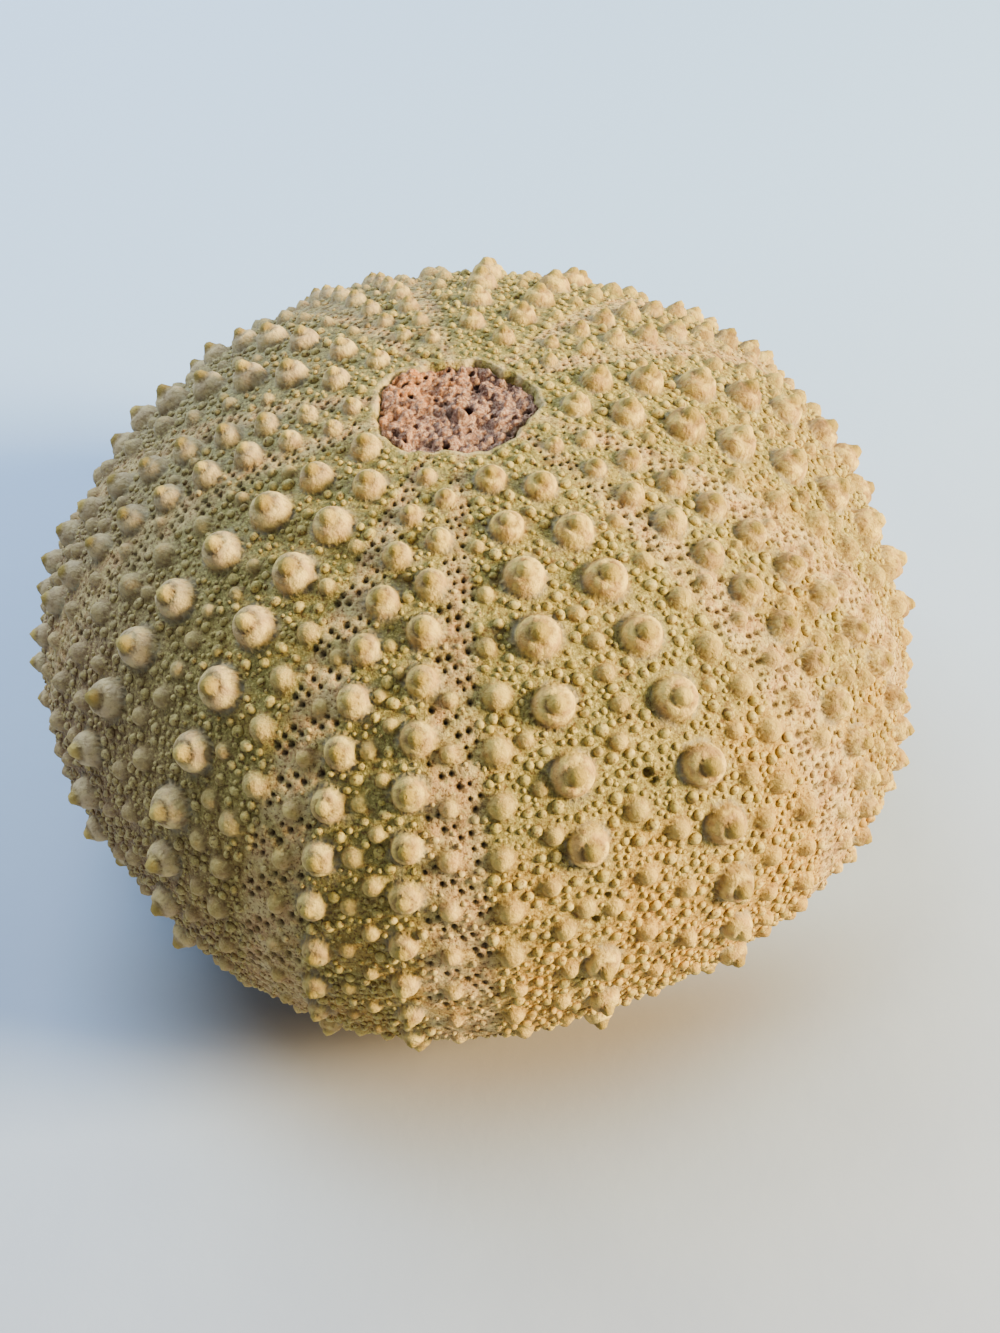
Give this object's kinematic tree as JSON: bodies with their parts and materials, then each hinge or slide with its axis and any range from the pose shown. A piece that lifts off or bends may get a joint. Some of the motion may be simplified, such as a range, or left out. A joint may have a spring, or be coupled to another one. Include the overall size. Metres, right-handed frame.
{
  "type": "fossil sea urchin",
  "caption": "Domed fossil sea urchin test with columns of rounded tubercles, pore bands and a rock-filled apical opening, resting on its flat underside.",
  "frame": {"origin": "centre of the underside, on the plane that the test rests on", "axes": "+Z from the mouth side up to the apical opening; -Y towards the front, with the middle of one pore-banded zone 13 degrees towards -X from it"},
  "size_m": [0.0571, 0.0568, 0.0325],
  "materials": {
    "test": "matte calcite shell, olive-ochre with pale cream tubercles, whitish-pink pore bands and a pink-brown granular rock fill in the openings"
  },
  "bodies": {
    "root": {"urchin_test": "test"}
  },
  "joints": []
}
